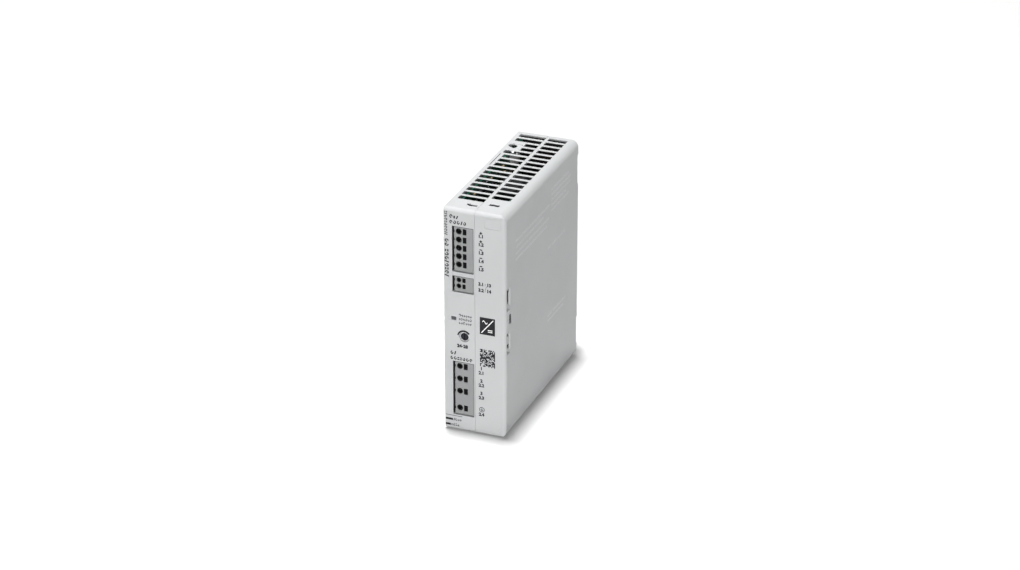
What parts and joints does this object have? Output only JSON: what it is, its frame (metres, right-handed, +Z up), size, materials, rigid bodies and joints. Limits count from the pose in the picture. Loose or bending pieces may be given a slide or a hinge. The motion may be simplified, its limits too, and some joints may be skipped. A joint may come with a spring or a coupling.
{
  "type": "din rail power supply",
  "caption": "Narrow vented DIN rail power supply with push-in terminal blocks, release buttons, a voltage trimmer and a sprung rail latch on the back.",
  "frame": {"origin": "on the floor plane, under the middle of the box around housing and rail foot", "axes": "+Z up; the front with the terminals faces -Y, the rail side faces +Y; +X is to the right of somebody looking at the front"},
  "size_m": [0.035, 0.115, 0.13],
  "materials": {
    "housing_plastic": "light grey moulded plastic, fine satin texture",
    "block_plastic": "mid grey moulded plastic",
    "black_plastic": "black moulded plastic",
    "light_guide": "smoked clear plastic",
    "white_plastic": "glossy white plastic",
    "circuit_board": "green solder mask on glass-fibre board",
    "ferrite": "dark grey ferrite",
    "winding_tape": "yellow polyester tape over copper wire",
    "yellow_plastic": "yellow moulded box",
    "capacitor_sleeve": "shrunk sleeve",
    "ceramic": "unglazed ceramic",
    "aluminium": "milled, lightly brushed",
    "steel": "zinc-plated"
  },
  "bodies": {
    "housing": {"left_shell": "housing_plastic", "right_shell": "housing_plastic", "housing_screw": "steel", "output_terminal_block": "block_plastic", "signal_terminal_block": "block_plastic", "input_terminal_block": "block_plastic", "status_light_guide": "light_guide", "status_led": "white_plastic", "trimmer_body": "block_plastic", "main_board": "circuit_board", "control_board": "circuit_board", "transformer_core": "ferrite", "transformer_winding": "winding_tape", "input_choke": "ferrite", "output_inductor": "winding_tape", "x_capacitor": "yellow_plastic", "bulk_capacitor_1": "capacitor_sleeve", "bulk_capacitor_2": "capacitor_sleeve", "output_capacitor_1": "capacitor_sleeve", "output_capacitor_2": "capacitor_sleeve", "output_capacitor_3": "capacitor_sleeve", "input_fuse_1": "ceramic", "input_fuse_2": "ceramic", "signal_relay": "white_plastic", "primary_heatsink": "aluminium", "secondary_heatsink": "aluminium", "bridge_rectifier": "black_plastic", "switching_transistor": "black_plastic", "output_rectifier": "black_plastic", "rail_adapter": "aluminium", "latch_spring": "steel", "rail_screw_left": "steel", "rail_screw_right": "steel"},
    "output_button_1": {"output_button_1": "black_plastic"},
    "output_button_2": {"output_button_2": "black_plastic"},
    "output_button_3": {"output_button_3": "black_plastic"},
    "output_button_4": {"output_button_4": "black_plastic"},
    "output_button_5": {"output_button_5": "black_plastic"},
    "signal_button_1": {"signal_button_1": "black_plastic"},
    "signal_button_2": {"signal_button_2": "black_plastic"},
    "input_button_1": {"input_button_1": "black_plastic"},
    "input_button_2": {"input_button_2": "black_plastic"},
    "input_button_3": {"input_button_3": "black_plastic"},
    "input_button_4": {"input_button_4": "black_plastic"},
    "trimmer": {"voltage_trimmer": "black_plastic"},
    "latch": {"foot_latch": "black_plastic"}
  },
  "joints": [
    {"name": "output_button_1_press", "type": "slide", "parent": "housing", "child": "output_button_1", "axis": [0, 1, 0], "range_m": [0, 0.0015], "stiffness_N_per_m": 3000, "springref_m": -0.001},
    {"name": "output_button_2_press", "type": "slide", "parent": "housing", "child": "output_button_2", "axis": [0, 1, 0], "range_m": [0, 0.0015], "stiffness_N_per_m": 3000, "springref_m": -0.001},
    {"name": "output_button_3_press", "type": "slide", "parent": "housing", "child": "output_button_3", "axis": [0, 1, 0], "range_m": [0, 0.0015], "stiffness_N_per_m": 3000, "springref_m": -0.001},
    {"name": "output_button_4_press", "type": "slide", "parent": "housing", "child": "output_button_4", "axis": [0, 1, 0], "range_m": [0, 0.0015], "stiffness_N_per_m": 3000, "springref_m": -0.001},
    {"name": "output_button_5_press", "type": "slide", "parent": "housing", "child": "output_button_5", "axis": [0, 1, 0], "range_m": [0, 0.0015], "stiffness_N_per_m": 3000, "springref_m": -0.001},
    {"name": "signal_button_1_press", "type": "slide", "parent": "housing", "child": "signal_button_1", "axis": [0, 1, 0], "range_m": [0, 0.0015], "stiffness_N_per_m": 3000, "springref_m": -0.001},
    {"name": "signal_button_2_press", "type": "slide", "parent": "housing", "child": "signal_button_2", "axis": [0, 1, 0], "range_m": [0, 0.0015], "stiffness_N_per_m": 3000, "springref_m": -0.001},
    {"name": "input_button_1_press", "type": "slide", "parent": "housing", "child": "input_button_1", "axis": [0, 1, 0], "range_m": [0, 0.0015], "stiffness_N_per_m": 3000, "springref_m": -0.001},
    {"name": "input_button_2_press", "type": "slide", "parent": "housing", "child": "input_button_2", "axis": [0, 1, 0], "range_m": [0, 0.0015], "stiffness_N_per_m": 3000, "springref_m": -0.001},
    {"name": "input_button_3_press", "type": "slide", "parent": "housing", "child": "input_button_3", "axis": [0, 1, 0], "range_m": [0, 0.0015], "stiffness_N_per_m": 3000, "springref_m": -0.001},
    {"name": "input_button_4_press", "type": "slide", "parent": "housing", "child": "input_button_4", "axis": [0, 1, 0], "range_m": [0, 0.0015], "stiffness_N_per_m": 3000, "springref_m": -0.001},
    {"name": "trimmer_turn", "type": "hinge", "parent": "housing", "child": "trimmer", "pos_m": [-0.0062, -0.0545, 0.0563], "axis": [0, 1, 0], "range_deg": [-135, 135]},
    {"name": "latch_release", "type": "slide", "parent": "housing", "child": "latch", "axis": [0, 0, -1], "range_m": [0, 0.005], "stiffness_N_per_m": 800, "springref_m": -0.006, "deforming": ["latch_spring"]}
  ]
}
